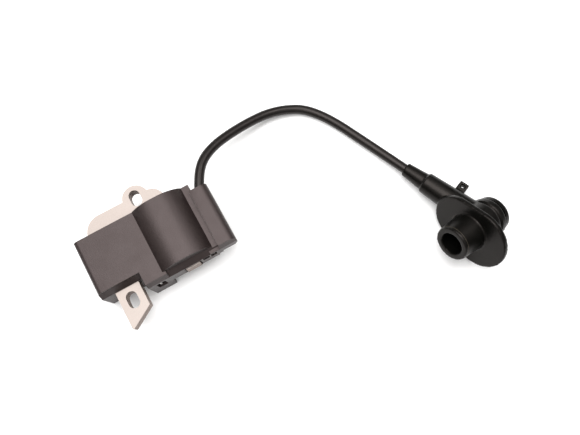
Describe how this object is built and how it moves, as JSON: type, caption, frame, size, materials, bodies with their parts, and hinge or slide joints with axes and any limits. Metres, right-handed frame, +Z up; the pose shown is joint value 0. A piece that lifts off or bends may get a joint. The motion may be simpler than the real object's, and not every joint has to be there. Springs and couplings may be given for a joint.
{
  "type": "ignition coil",
  "caption": "Flywheel ignition coil of a small engine: moulded case on a laminated core with slotted ears, and a high-tension lead ending in a right-angle plug boot.",
  "frame": {"origin": "centre of the coil module's box (without the lead and boot), on the surface it stands on", "axes": "+X along the case from the electronics to the lead tower, -Y towards the flywheel, +Z up, across the core's sheets"},
  "size_m": [0.1912, 0.1291, 0.0315],
  "materials": {
    "case_plastic": "fine spark-eroded matt black, slightly brown",
    "potting_resin": "cast black epoxy",
    "core_steel": "bare laminated electrical steel, thin clear varnish",
    "rivet_steel": "peened steel",
    "bobbin_nylon": "glass-filled nylon",
    "copper_wire": "enamelled copper wire, close wound",
    "board_laminate": "glass-epoxy board",
    "chip_plastic": "moulded black package",
    "capacitor_film": "dipped red-brown film capacitor",
    "tinned_metal": "tin plate",
    "terminal_brass": "plain brass",
    "lead_rubber": "satin black silicone-rubber jacket",
    "seal_rubber": "soft black rubber",
    "boot_rubber": "semi-gloss black moulded rubber",
    "spring_steel": "bright spring wire"
  },
  "bodies": {
    "coil_module": {"coil_case": "case_plastic", "potting_fill": "potting_resin", "coil_potting": "potting_resin", "core_laminations": "core_steel", "core_rivet_1": "rivet_steel", "core_rivet_2": "rivet_steel", "primary_bobbin": "bobbin_nylon", "primary_winding": "copper_wire", "secondary_bobbin": "bobbin_nylon", "secondary_winding": "copper_wire", "circuit_board": "board_laminate", "power_transistor": "chip_plastic", "control_chip": "chip_plastic", "timing_resistor": "chip_plastic", "trigger_resistor": "chip_plastic", "clamp_diode": "chip_plastic", "storage_capacitor": "capacitor_film", "winding_pin_1": "tinned_metal", "winding_pin_2": "tinned_metal", "ground_strap": "tinned_metal", "stop_terminal": "tinned_metal", "earth_terminal": "tinned_metal", "lead_contact_pin": "terminal_brass", "lead_seal": "seal_rubber", "ht_lead_jacket": "lead_rubber", "ht_lead_core": "copper_wire", "lead_end_terminal": "terminal_brass"},
    "plug_boot": {"boot_body": "boot_rubber", "boot_cap": "boot_rubber", "plug_contact_spring": "spring_steel"}
  },
  "joints": [
    {"name": "boot_swivel", "type": "hinge", "parent": "coil_module", "child": "plug_boot", "pos_m": [0.14505, -0.06777, 0.01156], "axis": [-0.3637, 0.9221, -0.1323], "range_deg": [-90, 90]}
  ]
}
